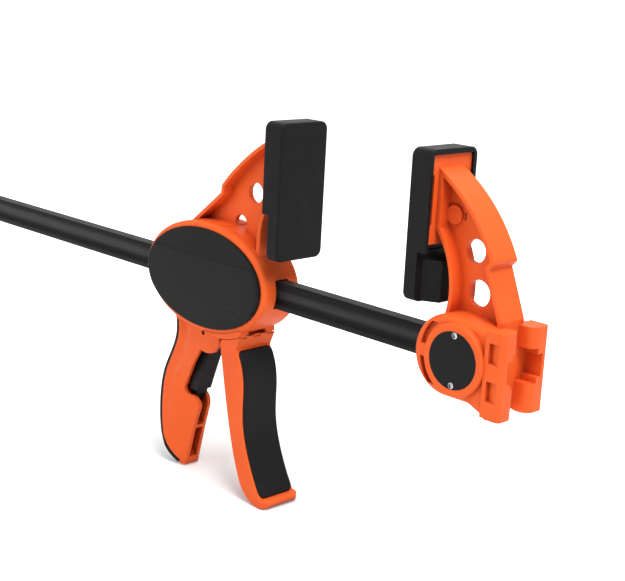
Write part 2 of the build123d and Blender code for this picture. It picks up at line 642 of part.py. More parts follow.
def lever_channel():
    """The lever's hollow, open to the rear."""
    inner = lever_front(GRIP_THICKNESS + LEVER_FRONT_WALL)
    hollow = face(
        Line((-60.0, -20.0), (-33.4, -20.0)),
        Line((-33.4, -20.0), inner @ 0),
        inner,
        Line(inner @ 1, (-60.0, -105.2)),
    )
    roof_back = PIVOT_X + 11.5
    roof = Pos(PIVOT_X, PIVOT_Z) * Circle(LEVER_TOP_RADIUS + SHOULDER_WALL)
    roof_span = Rectangle(LEVER_WIDTH, LEVER_TOP_RADIUS)
    roof &= Pos(roof_back + LEVER_WIDTH / 2, PIVOT_Z - LEVER_TOP_RADIUS) * roof_span
    return across(hollow, LEVER_INSIDE) - across(roof, LEVER_INSIDE)


def lever_arms():
    """Two arms that straddle the bar, from the pivot down into the neck."""
    hub = Pos(PIVOT_X, PIVOT_Z) * Circle(2 * PIVOT_PIN_RADIUS)
    nose_low = PIVOT_Z - NOSE_DEPTH - 1.2
    blade = make_face(Polyline(
        (NOSE_X, PIVOT_Z), (NOSE_X, nose_low), (-40.4, -28.0), (-38.4, -45.0),
        (-29.5, -45.0), (-30.8, -25.4), (-36.0, -8.0), (-42.0, PIVOT_Z), (NOSE_X, PIVOT_Z),
    ))
    return both_sides(slab(hub + blade, LEVER_ARMS_GAP / 2, LEVER_ARMS_WIDTH / 2))


def squeeze_lever():
    """Lever: hollow handle, neck and two arms with the pivot hole."""
    body = lever_shape() - lever_channel()
    body += lever_arms()
    body -= grip_blank()
    groove = Pos(PIVOT_X, PIVOT_Z) * Circle(LEVER_TOP_RADIUS + SKIRT_RIDGE)
    groove -= Pos(PIVOT_X, PIVOT_Z) * Circle(LEVER_TOP_RADIUS - SKIRT_RIDGE)
    body -= across(groove, SKIRT_RIDGE_HALF + PART_GAP)
    body -= both_sides(slab(groove, SIDE_RIDGE_NEAR - PART_GAP, SIDE_RIDGE_FAR + PART_GAP))
    return body - rod_across(PIVOT_X, PIVOT_Z, PIVOT_PIN_RADIUS + PIN_FIT, LEVER_WIDTH)


def lever_grip():
    """Soft grip moulded on the lever's front."""
    grip = grip_blank()
    front = grip.faces().sort_by(SortBy.AREA)[-2:].sort_by(Axis.X)[-1]
    return fillet(front.edges(), GRIP_ROUND)


# ---- release, jam plates and springs --------------------------------------------------------
def release_trigger():
    """Trigger in the handle's window; its heel pushes the brake plate upright."""
    boss = Pos(RELEASE_X, RELEASE_Z) * Circle(3.2)
    body = face(
        Line((-55.5, -29.5), (-59.0, -42.0)),
        ThreePointArc((-59.0, -42.0), (-63.9, -55.0), (-68.2, -67.0)),
        Line((-68.2, -67.0), (-75.2, -76.2)),
        Line((-75.2, -76.2), (-76.4, -74.6)),
        Line((-76.4, -74.6), (-69.6, -52.0)),
        Line((-69.6, -52.0), (-68.0, -43.5)),
        Line((-68.0, -43.5), (-68.7, -37.6)),
        Line((-68.7, -37.6), (-62.0, -29.5)),
    )
    blade = across(body + boss, TRIGGER_WIDTH / 2)
    tip = block(-90, -50, TRIGGER_WIDTH, -80, -64.5) - block(-90, -50, TRIGGER_TIP_WIDTH / 2, -80, -64)
    bore = rod_across(RELEASE_X, RELEASE_Z, RELEASE_PIN_RADIUS + PIN_FIT, TRIGGER_WIDTH)
    return blade - tip - bore


def jam_hole(height):
    """The bar's hole through a jam plate, seen along the bar."""
    return Rectangle(BAR_WIDTH + 2 * JAM_FIT, height)


def drive_plate(back):
    """One upright jam plate; the lever's noses push it along the bar."""
    height = DRIVE_PLATE_TOP - DRIVE_PLATE_LOW
    middle = (DRIVE_PLATE_TOP + DRIVE_PLATE_LOW) / 2
    blank = Pos(0, middle) * RectangleRounded(JAM_PLATE_WIDTH, height, 2.0)
    blank -= jam_hole(BAR_HEIGHT + 2 * JAM_FIT)
    return Pos(back, 0, 0) * extrude(Plane.YZ * blank, DRIVE_PLATE_THICKNESS)


def brake_plate():
    """Jam plate that holds the bar; it leans about its round head and is pushed upright to let go."""
    lean = radians(BRAKE_TILT)
    bar_below = -BRAKE_TOP_Z / cos(lean)
    low = (BRAKE_LOW_Z - BRAKE_TOP_Z) / cos(lean)
    head_low = bar_below - BAR_TOP - BRAKE_SHOULDER
    broad = Pos(0, head_low / 2) * Rectangle(JAM_PLATE_WIDTH, -head_low)
    tail = Pos(0, (head_low + low) / 2 + 1) * Rectangle(BRAKE_TAIL_WIDTH, head_low - low + 2)
    hole_height = (BAR_HEIGHT + 2 * JAM_FIT + BRAKE_PLATE_THICKNESS * sin(lean)) / cos(lean) + JAM_FIT
    blank = broad + tail - Pos(0, bar_below) * jam_hole(hole_height)
    flat = Pos(-BRAKE_PLATE_THICKNESS / 2, 0, 0) * extrude(Plane.YZ * blank, BRAKE_PLATE_THICKNESS)
    plate = Pos(BRAKE_TOP_X, 0, BRAKE_TOP_Z) * Rot(0, -BRAKE_TILT, 0) * flat
    return plate + rod_across(BRAKE_TOP_X, BRAKE_TOP_Z, BRAKE_PLATE_THICKNESS / 2, JAM_PLATE_WIDTH / 2)


def brake_face_at(z):
    """X of the brake plate's rear face at a height."""
    lean = radians(BRAKE_TILT)
    middle = BRAKE_TOP_X + (BRAKE_TOP_Z - z) * sin(lean) / cos(lean)
    return middle - BRAKE_PLATE_THICKNESS / 2 / cos(lean)


# ---- the bar and the fixed jaw --------------------------------------------------------------
def bar():
    """Grooved bar with its stop pin's hole and the jaw pin's hole."""
    rim = fillet(Rectangle(BAR_WIDTH, BAR_HEIGHT).vertices(), BAR_EDGE_RADIUS)
    bend = (BAR_GROOVE_HEIGHT ** 2 / 4 + BAR_GROOVE_DEPTH ** 2) / (2 * BAR_GROOVE_DEPTH)
    centre = BAR_WIDTH / 2 - BAR_GROOVE_DEPTH + bend
    for side in (-1, 1):
        rim -= Pos(side * centre, 0) * Circle(bend)
    solid = Pos(BAR_START, 0, 0) * extrude(Plane.YZ * rim, SOCKET_DEPTH - BAR_START)
    solid -= rod_across(STOP_PIN_X, 0, STOP_PIN_RADIUS + PIN_FIT, BAR_WIDTH)
    return solid - rod_across(RING_X, 0, JAW_PIN_RADIUS + PIN_FIT, BAR_WIDTH)


def hub_outline():
    """Side view of the fixed jaw's boss and the root of its ears."""
    heel = face(
        Line((HUB_X, -HUB_RADIUS), (HEEL_X, -HUB_RADIUS)),
        Line((HEEL_X, -HUB_RADIUS), (EAR_SLOT_X, EAR_FOOT)),
        Line((EAR_SLOT_X, EAR_FOOT), (EAR_SLOT_X, EAR_TOP)),
        Line((EAR_SLOT_X, EAR_TOP), (HUB_X, HUB_RADIUS)),
    )
    return heel + Pos(HUB_X, 0) * Circle(HUB_RADIUS)


def ears():
    """Two upright ears with a flared slot between them and a stepped groove across it."""
    side = make_face(Polyline(
        (EAR_START_X, EAR_TOP), (EAR_START_X, EAR_FOOT), (EAR_SLOT_X, EAR_FOOT), (EAR_HEEL_X, EAR_LOW),
        (EAR_END_X, EAR_LOW), (EAR_END_X, EAR_TOP), (EAR_START_X, EAR_TOP),
    ))
    solid = across(side, EAR_WIDTH / 2)
    solid -= block(EAR_SLOT_X, EAR_END_X + 1, EAR_GAP / 2, EAR_LOW - 1, EAR_TOP + 1)
    corners = solid.edges().filter_by(Axis.Z).group_by(Axis.X)[-1].sort_by(lambda edge: abs(edge.center().Y))
    solid = fillet(corners[:2], EAR_INNER_ROUND)
    corners = solid.edges().filter_by(Axis.Z).sort_by(lambda edge: edge.center().X + abs(edge.center().Y))
    solid = fillet(corners[-2:], EAR_OUTER_ROUND)
    ledge_low = KEYWAY_LOW - KEYWAY_LEDGE
    solid -= block(EAR_SLOT_X, EAR_END_X + 1, KEYWAY_WIDTH / 2, KEYWAY_LOW, KEYWAY_TOP)
    ledge_top = KEYWAY_TOP + KEYWAY_LEDGE
    return solid - block(EAR_SLOT_X, EAR_END_X + 1, KEYWAY_LEDGE_WIDTH / 2, ledge_low, ledge_top)


def ear_window():
    """Ramped window in the far ear's outer face: deep towards the boss, running out the other way."""
    outer = EAR_WIDTH / 2
    ramp = make_face(Polyline(
        (EAR_WINDOW_X, outer + 1), (EAR_WINDOW_X, outer - EAR_WINDOW_DEPTH),
        (EAR_WINDOW_X + EAR_WINDOW_WIDTH, outer), (EAR_WINDOW_X + EAR_WINDOW_WIDTH, outer + 1),
        (EAR_WINDOW_X, outer + 1),
    ))
    return Pos(0, 0, -EAR_WINDOW_HEIGHT / 2) * extrude(ramp, EAR_WINDOW_HEIGHT)


def ring_slits():
    """Two curved slits in the boss's side, beside the ring."""
    inner = RING_RADIUS + SLIT_GAP
    band = Pos(RING_X, 0) * (Circle(inner + SLIT_WIDTH) - Circle(inner))
    band &= Pos(RING_X - RING_RADIUS, 0) * Rectangle(2 * SLIT_WIDTH + 4, 1.72 * RING_RADIUS)
    return band - Pos(RING_X - RING_RADIUS, 0) * Rectangle(4 * SLIT_WIDTH, 2 * SLIT_WIDTH)


def fixed_arm():
    """The fixed jaw's arm with its holes, its small boss and the pad's plate, X from the pad's face."""
    jaw = arm(fixed_arm_outline(), Pos(HUB_X - REST_OPENING, 0) * Circle(HUB_RADIUS))
    jaw += mirror(jaw_plate(), Plane.YZ)
    jaw -= rod_across(JAW_HOLE_X, JAW_HOLE_Z, JAW_HOLE_RADIUS, ARM_WIDTH)
    jaw -= rod_across(JAW_LOW_HOLE_X, JAW_LOW_HOLE_Z, JAW_LOW_HOLE_RADIUS, ARM_WIDTH)
    boss = Pos(JAW_BOSS_X, JAW_BOSS_Z) * Circle(JAW_BOSS_RADIUS)
    jaw += both_sides(slab(boss, 0, ARM_WEB / 2 + JAW_BOSS_RISE))
    slit_x = JAW_BOSS_X + JAW_BOSS_RADIUS + BOSS_SLIT_WIDTH
    slit = Pos(slit_x, JAW_BOSS_Z) * Rectangle(BOSS_SLIT_WIDTH, BOSS_SLIT_HEIGHT)
    return jaw - across(slit, ARM_WEB)


def fixed_jaw():
    """The fixed jaw in one moulding: arm, boss with the bar's socket, and ears."""
    body = across(hub_outline(), HUB_WIDTH / 2)
    body = fillet(body.edges().filter_by(GeomType.CIRCLE), HUB_ROUND)
    ring = rod_across(RING_X, 0, RING_RADIUS, RING_FACE)
    ring = fillet(ring.edges().filter_by(GeomType.CIRCLE), RING_ROUND)
    body += ears() + ring + Pos(REST_OPENING, 0, 0) * fixed_arm()
    body -= both_sides(slab(ring_slits(), HUB_WIDTH / 2 - SLIT_DEPTH, HUB_WIDTH))
    for row in (0, 1):
        middle = EAR_WINDOW_TOP - EAR_WINDOW_HEIGHT / 2 - row * EAR_WINDOW_PITCH
        body -= both_sides(Pos(0, 0, middle) * ear_window())
    socket_top = BAR_TOP + SNUG_FIT
    body -= block(70, SOCKET_DEPTH + SNUG_FIT, BAR_WIDTH / 2 + SNUG_FIT, -socket_top, socket_top)
    body -= both_sides(slab(Pos(RING_X, 0) * Circle(DISC_RADIUS + SNUG_FIT), DISC_FLOOR, RING_FACE + 1))
    body -= rod_across(RING_X, 0, JAW_PIN_RADIUS + PIN_FIT, DISC_FLOOR + 1)
    for lift in (-1, 1):
        x, z = screw_place(lift)
        body -= rod_across(x, z, SCREW_SHANK_RADIUS + PIN_FIT, RING_FACE)
    return body


def screw_place(lift):
    """X and Z of a disc screw."""
    return RING_X + 0.2, lift * SCREW_OFFSET


def disc():
    """Disc over the jaw pin on the far side, with two countersunk screw holes."""
    plate = slab(Pos(RING_X, 0) * Circle(DISC_RADIUS), DISC_FLOOR, RING_FACE)
    for lift in (-1, 1):
        x, z = screw_place(lift)
        plate -= slab(Pos(x, z) * Circle(SCREW_HEAD_RADIUS + PIN_FIT), RING_FACE - 0.9, RING_FACE + 1)
        plate -= slab(Pos(x, z) * Circle(SCREW_SHANK_RADIUS + PIN_FIT), DISC_FLOOR - 1, RING_FACE)
    return plate


def disc_screws():
    """Four small screws, two in each disc."""
    group = []
    for lift in (-1, 1):
        x, z = screw_place(lift)
        head = slab(Pos(x, z) * Circle(SCREW_HEAD_RADIUS), RING_FACE - 0.9, RING_FACE)
        drive = slab(Pos(x, z) * Rectangle(1.6, 0.4), RING_FACE - 0.4, RING_FACE + 1)
        shank = slab(Pos(x, z) * Circle(SCREW_SHANK_RADIUS), RING_FACE - SCREW_LENGTH, RING_FACE - 0.5)
        screw = head + shank - drive
        group += [screw, mirror(screw, Plane.XZ)]
    return Compound(children=group)


# ---- write every piece ----------------------------------------------------------------------
os.makedirs("parts", exist_ok=True)

write("head_body", head_body())
write("cover_far", cover())
write("cover_near", mirror(cover(), Plane.XZ))
write("handle_strip", handle_strip())
write("head_pad", pad())
write("lever_pivot_pin", rod_across(PIVOT_X, PIVOT_Z, PIVOT_PIN_RADIUS, COVER_FLOOR - PART_GAP))
write("release_pin", rod_across(RELEASE_X, RELEASE_Z, RELEASE_PIN_RADIUS, HANDLE_HALF - RELEASE_PIN_SINK))

write("squeeze_lever", squeeze_lever())
write("lever_grip", lever_grip())
write("release_trigger", release_trigger())
write("drive_plate_front", drive_plate(DRIVE_PLATE_FRONT - DRIVE_PLATE_THICKNESS))
write("drive_plate_rear", drive_plate(DRIVE_PLATE_BACK))
write("brake_plate", brake_plate())
write("drive_spring", coil_along_x(SPRING_SEAT_X, DRIVE_PLATE_BACK, DRIVE_SPRING_RADIUS, DRIVE_SPRING_TURNS))
write("brake_spring", coil_along_x(
    BRAKE_SPRING_X, brake_face_at(BRAKE_SPRING_Z + BRAKE_SPRING_RADIUS + SPRING_WIRE / 2),
    BRAKE_SPRING_RADIUS, BRAKE_SPRING_TURNS, BRAKE_SPRING_Z,
))

write("bar", bar())
write("bar_stop_pin", rod_across(STOP_PIN_X, 0, STOP_PIN_RADIUS, STOP_PIN_LENGTH / 2))
write("fixed_jaw", fixed_jaw())
write("jaw_pad", Pos(REST_OPENING, 0, 0) * mirror(pad(), Plane.YZ))
write("jaw_pin", rod_across(RING_X, 0, JAW_PIN_RADIUS, DISC_FLOOR))
write("disc_far", disc())
write("disc_near", mirror(disc(), Plane.XZ))
write("disc_screws", disc_screws())
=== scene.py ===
"""Looks of the quick release bar clamp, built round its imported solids. Lengths are in metres."""

import logging
from collections.abc import Sequence
from dataclasses import dataclass, field
from enum import Enum
from typing import Any, Union

import bmesh
import bpy
from mathutils import Matrix, Vector

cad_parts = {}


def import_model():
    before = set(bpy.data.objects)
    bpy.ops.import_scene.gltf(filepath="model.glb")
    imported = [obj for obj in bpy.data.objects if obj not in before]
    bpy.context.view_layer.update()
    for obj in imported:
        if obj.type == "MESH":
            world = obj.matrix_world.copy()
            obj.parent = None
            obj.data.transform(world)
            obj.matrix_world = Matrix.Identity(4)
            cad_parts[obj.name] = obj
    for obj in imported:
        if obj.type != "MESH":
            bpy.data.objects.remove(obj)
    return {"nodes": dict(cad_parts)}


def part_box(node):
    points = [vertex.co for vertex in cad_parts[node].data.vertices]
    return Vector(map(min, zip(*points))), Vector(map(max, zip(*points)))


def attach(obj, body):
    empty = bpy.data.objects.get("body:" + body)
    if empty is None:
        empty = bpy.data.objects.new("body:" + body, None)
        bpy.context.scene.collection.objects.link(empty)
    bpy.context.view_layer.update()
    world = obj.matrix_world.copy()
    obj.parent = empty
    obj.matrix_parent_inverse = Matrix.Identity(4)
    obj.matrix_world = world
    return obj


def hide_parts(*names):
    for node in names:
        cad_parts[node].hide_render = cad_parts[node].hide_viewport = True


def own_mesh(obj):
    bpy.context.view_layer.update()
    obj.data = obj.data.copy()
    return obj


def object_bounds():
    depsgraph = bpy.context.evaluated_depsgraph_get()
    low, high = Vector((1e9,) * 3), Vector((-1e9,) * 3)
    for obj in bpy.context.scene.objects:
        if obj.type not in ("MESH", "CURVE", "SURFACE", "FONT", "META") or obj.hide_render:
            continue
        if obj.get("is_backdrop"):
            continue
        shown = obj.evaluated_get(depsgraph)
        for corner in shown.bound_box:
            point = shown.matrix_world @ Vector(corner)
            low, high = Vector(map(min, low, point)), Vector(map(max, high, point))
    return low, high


LOG = logging.getLogger("bar_clamp")
MM = 0.001

Colour = tuple[float, float, float, float]
Triple = tuple[float, float, float]
Stops = Sequence[tuple[float, float]]
Sockets = dict[str | int, Any]
Number = Union[float, "Value"]

WHITE: Colour = (1.0, 1.0, 1.0, 1.0)
NOISE_MIDDLE = 0.5
EDGE_SAMPLES = 4
CORNER_SAMPLES = 6
# A Mix node has sockets for every kind of data. These are its share and the three for colours.
MIX_SHARE, MIX_FIRST, MIX_SECOND, MIX_RESULT = 0, 6, 7, 2


class Slot(Enum):
    """The record's material slots."""

    ORANGE = "orange_plastic"
    BLACK = "black_plastic"
    PAD = "pad_rubber"
    BAR = "black_steel"
    BRIGHT = "bright_steel"


class Body(Enum):
    """The clamp's moving bodies."""

    HEAD = "head"
    LEVER = "lever"
    DRIVE = "drive"
    RELEASE = "release"
    BRAKE = "brake"
    JAW = "bar_and_jaw"


# ---- shader graphs --------------------------------------------------------------------------
class Value:
    """One output socket, with arithmetic that adds Math nodes."""

    def __init__(self, graph: "Graph", socket: bpy.types.NodeSocket) -> None:
        """Keep the graph and the socket.

        Args:
            graph: the graph that the socket belongs to.
            socket: the output socket.
        """
        self.graph = graph
        self.socket = socket

    def __add__(self, other: Number) -> "Value":
        """Sum."""
        return self.graph.math("ADD", self, other)

    __radd__ = __add__

    def __mul__(self, other: Number) -> "Value":
        """Product."""
        return self.graph.math("MULTIPLY", self, other)

    __rmul__ = __mul__

    def __sub__(self, other: Number) -> "Value":
        """Difference."""
        return self.graph.math("SUBTRACT", self, other)

    def __rsub__(self, other: Number) -> "Value":
        """Difference, with this value taken away."""
        return self.graph.math("SUBTRACT", other, self)


class Graph:
    """The node tree of a material or of the world, with one method that adds any node."""

    def __init__(self, owner: bpy.types.Material | bpy.types.World) -> None:
        """Start with no nodes.

        Args:
            owner: the new material or world.
        """
        owner.use_nodes = True
        self.owner = owner
        self.tree = owner.node_tree
        self.tree.nodes.clear()

    def add(self, kind: str, settings: dict[str, Any] | None = None,
            sockets: Sockets | None = None) -> bpy.types.Node:
        """Add a node.

        Args:
            kind: the node's type.
            settings: its properties, set first; "stops" are a colour ramp's.
            sockets: values or links of its inputs, by name or index.

        Returns:
            The node.
        """
        node = self.tree.nodes.new(kind)
        for key, setting in (settings or {}).items():
            if key == "stops":
                self._set_stops(node.color_ramp, setting)
            else:
                setattr(node, key, setting)
        for key, given in (sockets or {}).items():
            self._feed(node.inputs[key], given)
        return node

    def _set_stops(self, ramp: bpy.types.ColorRamp, stops: Stops) -> None:
        """Give a ramp its grey stops.

        Args:
            ramp: the ramp, which starts with two stops.
            stops: two or more pairs of place and brightness.
        """
        while len(ramp.elements) < len(stops):
            ramp.elements.new(1.0)
        for element, (place, bright) in zip(ramp.elements, stops):
            element.position = place
            element.color = (bright, bright, bright, 1.0)

    def _feed(self, socket: bpy.types.NodeSocket, given: Any) -> None:
        """Link a value to an input, or set the input's own number.

        Args:
            socket: the input.
            given: a Value, a number, a colour or a vector.
        """
        if isinstance(given, Value):
            self.tree.links.new(given.socket, socket)
        else:
            socket.default_value = given

    def value(self, node: bpy.types.Node, output: str | int = 0) -> Value:
        """Return one of a node's outputs."""
        return Value(self, node.outputs[output])

    def math(self, operation: str, first: Number, second: Number = 0.0) -> Value:
        """Add a Math node.

        Args:
            operation: the Math node's operation.
            first: its first input.
            second: its second input.

        Returns:
            The result.
        """
        return self.value(self.add("ShaderNodeMath", {"operation": operation}, {0: first, 1: second}))

    def place(self) -> Value:
        """Return the Object coordinates."""
        return self.value(self.add("ShaderNodeTexCoord"), "Object")

    def part(self, vector: Value, axis: str) -> Value:
        """Return one coordinate of a vector."""
        return self.value(self.add("ShaderNodeSeparateXYZ", None, {0: vector}), axis)

    def stretched(self, vector: Value, scale: Triple) -> Value:
        """Return the coordinates multiplied axis by axis."""
        settings = {"operation": "MULTIPLY"}
        return self.value(self.add("ShaderNodeVectorMath", settings, {0: vector, 1: scale}))

    def noise(self, vector: Value, size: float, detail: float = 2.0, rough: float = 0.5) -> Value:
        """Noise between about 0.3 and 0.7.

        Args:
            vector: the coordinates, in metres.
            size: the size of a blotch, in metres.
            detail: the number of finer layers.
            rough: how strong they are.

        Returns:
            The noise.
        """
        sockets = {"Vector": vector, "Scale": 1.0 / size, "Detail": detail, "Roughness": rough}
        return self.value(self.add("ShaderNodeTexNoise", None, sockets))

    def swing(self, noise: Value, reach: float) -> Value:
        """Return the noise as a change to either side of nothing."""
        return (noise - NOISE_MIDDLE) * reach

    def ramp(self, given: Value, stops: Stops) -> Value:
        """Return the value put through a grey ramp."""
        return self.value(self.add("ShaderNodeValToRGB", {"stops": stops}, {0: given}))

    def mixed(self, share: Number, first: Any, second: Any) -> Value:
        """Mix two colours.

        Args:
            share: how much of the second, from 0 to 1.
            first: a colour or a Value that holds one.
            second: the other.

        Returns:
            The colour.
        """
        sockets = {MIX_SHARE: share, MIX_FIRST: first, MIX_SECOND: second}
        return self.value(self.add("ShaderNodeMix", {"data_type": "RGBA"}, sockets), MIX_RESULT)

    def soft_normal(self, radius: float) -> Value:
        """Return a normal that turns smoothly over sharp edges."""
        return self.value(self.add("ShaderNodeBevel", {"samples": EDGE_SAMPLES}, {"Radius": radius}))

    def edges(self, normal: Value, gain: float) -> Value:
        """Return a mask that is bright where the soft normal leaves the true one, for painting highlights
        along edges.

        Args:
            normal: the soft normal.
            gain: how fast the mask rises.

        Returns:
            The mask, from 0 to 1.
        """
        true_normal = self.value(self.add("ShaderNodeNewGeometry"), "Normal")
        agree = self.add("ShaderNodeVectorMath", {"operation": "DOT_PRODUCT"}, {0: normal, 1: true_normal})
        return self.math("MINIMUM", (1.0 - self.value(agree, "Value")) * gain, 1.0)

    def painted_shade_mask(self, reach: float) -> Value:
        """Return a mask that is bright in corners and recesses, for painting shade there."""
        node = self.add("ShaderNodeAmbientOcclusion", {"samples": CORNER_SAMPLES}, {"Distance": reach})
        return 1.0 - self.value(node, "AO")

    def bump(self, height: Value, depth: float, normal: Value) -> Value:
        """Turn a height into a normal.

        Args:
            height: the height, about 0 to 1.
            depth: what a height of 1 stands for, in metres.
            normal: the normal that it starts from.

        Returns:
            The normal.
        """
        sockets = {"Height": height, "Distance": depth, "Strength": 1.0, "Normal": normal}
        return self.value(self.add("ShaderNodeBump", None, sockets))

    def seen(self) -> Value:
        """Tell the rays that show a thing apart from those that light it.

        Returns:
            1 for rays from the camera and those that gloss or glass sends on, otherwise 0.
        """
        ray = self.add("ShaderNodeLightPath")
        sent_on = self.math("MAXIMUM", self.value(ray, "Is Glossy Ray"),
                            self.value(ray, "Is Transmission Ray"))
        return self.math("MAXIMUM", self.value(ray, "Is Camera Ray"), sent_on)

    def shade(self, sockets: Sockets) -> bpy.types.Material:
        """End a material's tree in a Principled surface.

        Args:
            sockets: the surface's inputs.

        Returns:
            The material.
        """
        surface = self.add("ShaderNodeBsdfPrincipled", None, sockets)
        self.add("ShaderNodeOutputMaterial", None, {"Surface": self.value(surface)})
        return self.owner


# ---- finishes -------------------------------------------------------------------------------
@dataclass(frozen=True)
class MouldedPlastic:
    """Hard moulded plastic: fine grain, painted highlights along its edges, painted shade in its corners
    and recesses, a mould line if seam_height isn't 0.
    """

    name: str
    colour: Colour
    flow: Colour
    # Colour of the shade painted into corners and recesses.
    corner: Colour
    # Colour of the highlight painted along sharp edges.
    edge_highlight: Colour
    roughness: float
    shine: float
    grain_size: float
    grain_depth: float
    seam_height: float
    seam_half: float = 0.14 * MM
    flow_size: float = 26.0 * MM
    flow_share: float = 0.5
    flow_stops: Stops = ((0.35, 0.0), (0.7, 1.0))
    flow_roughness: float = 0.1
    # These three set the shade painted into corners and recesses.
    painted_shade_reach: float = 9.0 * MM
    painted_shade_share: float = 0.8
    painted_shade_stops: Stops = ((0.25, 0.0), (0.85, 1.0))
    # The first rounds the shading normal over sharp edges; the next two set the highlight painted along
    # them.
    edge_radius: float = 0.45 * MM
    edge_gain: float = 2.2
    edge_highlight_share: float = 0.35
    worn_size: float = 3.5 * MM
    worn_stretch: Triple = (1.0, 1.0, 0.4)
    worn_height: float = 0.5
    worn_roughness: float = 0.22

    def build(self) -> bpy.types.Material:
        """Make the material.

        Returns:
            The material.
        """
        graph = Graph(bpy.data.materials.new(self.name))
        place = graph.place()
        soft = graph.soft_normal(self.edge_radius)
        flow = graph.noise(place, self.flow_size, detail=3.0)
        grain = graph.noise(place, self.grain_size, detail=1.0)
        drawn = graph.stretched(place, self.worn_stretch)
        worn = graph.noise(drawn, self.worn_size, detail=4.0, rough=0.6)
        # Painted shade: darker colour where ambient occlusion finds corners and recesses.
        corners = graph.ramp(graph.painted_shade_mask(self.painted_shade_reach), self.painted_shade_stops)
        colour = graph.mixed(graph.ramp(flow, self.flow_stops) * self.flow_share, self.colour, self.flow)
        colour = graph.mixed(corners * self.painted_shade_share, colour, self.corner)
        # Painted highlight: paler colour along sharp edges.
        colour = graph.mixed(graph.edges(soft, self.edge_gain) * self.edge_highlight_share, colour, self.edge_highlight)
        roughness = self.roughness + graph.swing(worn, self.worn_roughness)
        roughness = roughness + graph.swing(flow, self.flow_roughness)
        height = grain + worn * self.worn_height + self._seam(graph, place) * self.seam_height
        return graph.shade({
            "Base Color": colour,
            "Roughness": roughness,
            "Specular IOR Level": self.shine,
            "Normal": graph.bump(height, self.grain_depth, soft),
        })

    def _seam(self, graph: Graph, place: Value) -> Value:
        """Return the thin line that the two halves of the mould leave on the middle plane.

        Args:
            graph: the material's graph.
            place: the Object coordinates.

        Returns:
            The line, 0 or 1.
        """
        off_middle = graph.math("ABSOLUTE", graph.part(place, "Y"))
        return graph.math("LESS_THAN", off_middle, self.seam_half)


@dataclass(frozen=True)
class PadRubber:
    """Smooth dark pad: matt, faintly mottled, with worn patches and painted highlights along its edges."""

    name: str
    colour: Colour
    # Colour of the worn patches.
    rubbed_and_sheen: Colour
    # Colour of the highlight painted along sharp edges.
    edge_highlight: Colour
    roughness: float
    shine: float
    mottle_size: float = 9.0 * MM
    mottle_roughness: float = 0.3
    mottle_height: float = 0.6
    rub_share: float = 0.5
    rub_stops: Stops = ((0.45, 0.0), (0.72, 1.0))
    edge_radius: float = 0.6 * MM
    edge_gain: float = 2.0
    edge_highlight_share: float = 0.6
    pore_size: float = 0.35 * MM
    pore_depth: float = 0.014 * MM

    def build(self) -> bpy.types.Material:
        """Make the material.

        Returns:
            The material.
        """
        graph = Graph(bpy.data.materials.new(self.name))
        place = graph.place()
        soft = graph.soft_normal(self.edge_radius)
        mottle = graph.noise(place, self.mottle_size, detail=4.0, rough=0.6)
        pores = graph.noise(place, self.pore_size)
        colour = graph.mixed(graph.ramp(mottle, self.rub_stops) * self.rub_share, self.colour, self.rubbed_and_sheen)
        # Painted highlight: paler colour along sharp edges.
        colour = graph.mixed(graph.edges(soft, self.edge_gain) * self.edge_highlight_share, colour, self.edge_highlight)
        return graph.shade({
            "Base Color": colour,
            "Roughness": self.roughness + graph.swing(mottle, self.mottle_roughness),
            "Specular IOR Level": self.shine,
            "Normal": graph.bump(pores + mottle * self.mottle_height, self.pore_depth, soft),
        })


